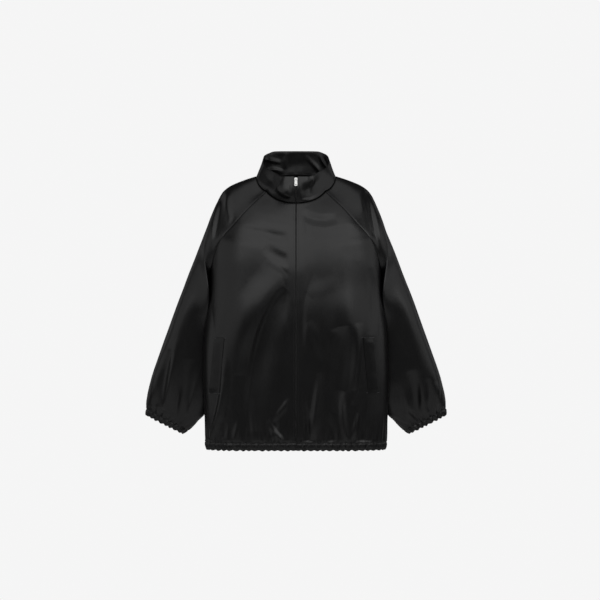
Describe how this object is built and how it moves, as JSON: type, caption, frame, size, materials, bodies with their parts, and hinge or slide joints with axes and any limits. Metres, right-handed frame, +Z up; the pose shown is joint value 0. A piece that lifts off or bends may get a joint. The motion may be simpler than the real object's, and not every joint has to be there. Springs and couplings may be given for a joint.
{
  "type": "track jacket held up on its wearer",
  "caption": "Roomy satin track jacket with raglan sleeves, a stand collar, a full front zip with a swinging pull tab, welt pockets, and gathered elastic hem and cuffs.",
  "frame": {"origin": "in the middle of the neck opening, level with the points where the shoulder lines meet the collar, where the wearer's neck and shoulders carry the jacket", "axes": "+Z up the wearer's neck, -Y out of the front, +X to the wearer's left"},
  "size_m": [0.8293, 0.2858, 0.821],
  "materials": {
    "satin": "heavy black satin, softly lustrous",
    "zip_tape": "matt black woven zip tape",
    "zip_teeth": "black moulded teeth",
    "nickel": "polished nickel plate"
  },
  "bodies": {
    "jacket": {"back": "satin", "collar": "satin", "collar_facing": "satin", "cuff_left": "satin", "cuff_right": "satin", "front_left": "satin", "front_right": "satin", "hem_casing": "satin", "pocket_welt_left": "satin", "pocket_welt_right": "satin", "sleeve_back_left": "satin", "sleeve_back_right": "satin", "sleeve_front_left": "satin", "sleeve_front_right": "satin", "zip_chain": "zip_teeth", "zip_slider": "nickel", "zip_tape_left": "zip_tape", "zip_tape_right": "zip_tape"},
    "pull_tab": {"pull_tab": "nickel"}
  },
  "joints": [
    {"name": "pull_tab_swing", "type": "hinge", "parent": "jacket", "child": "pull_tab", "pos_m": [0, -0.09584, -0.0117], "axis": [-1, 0, 0], "range_deg": [0, 160]}
  ]
}
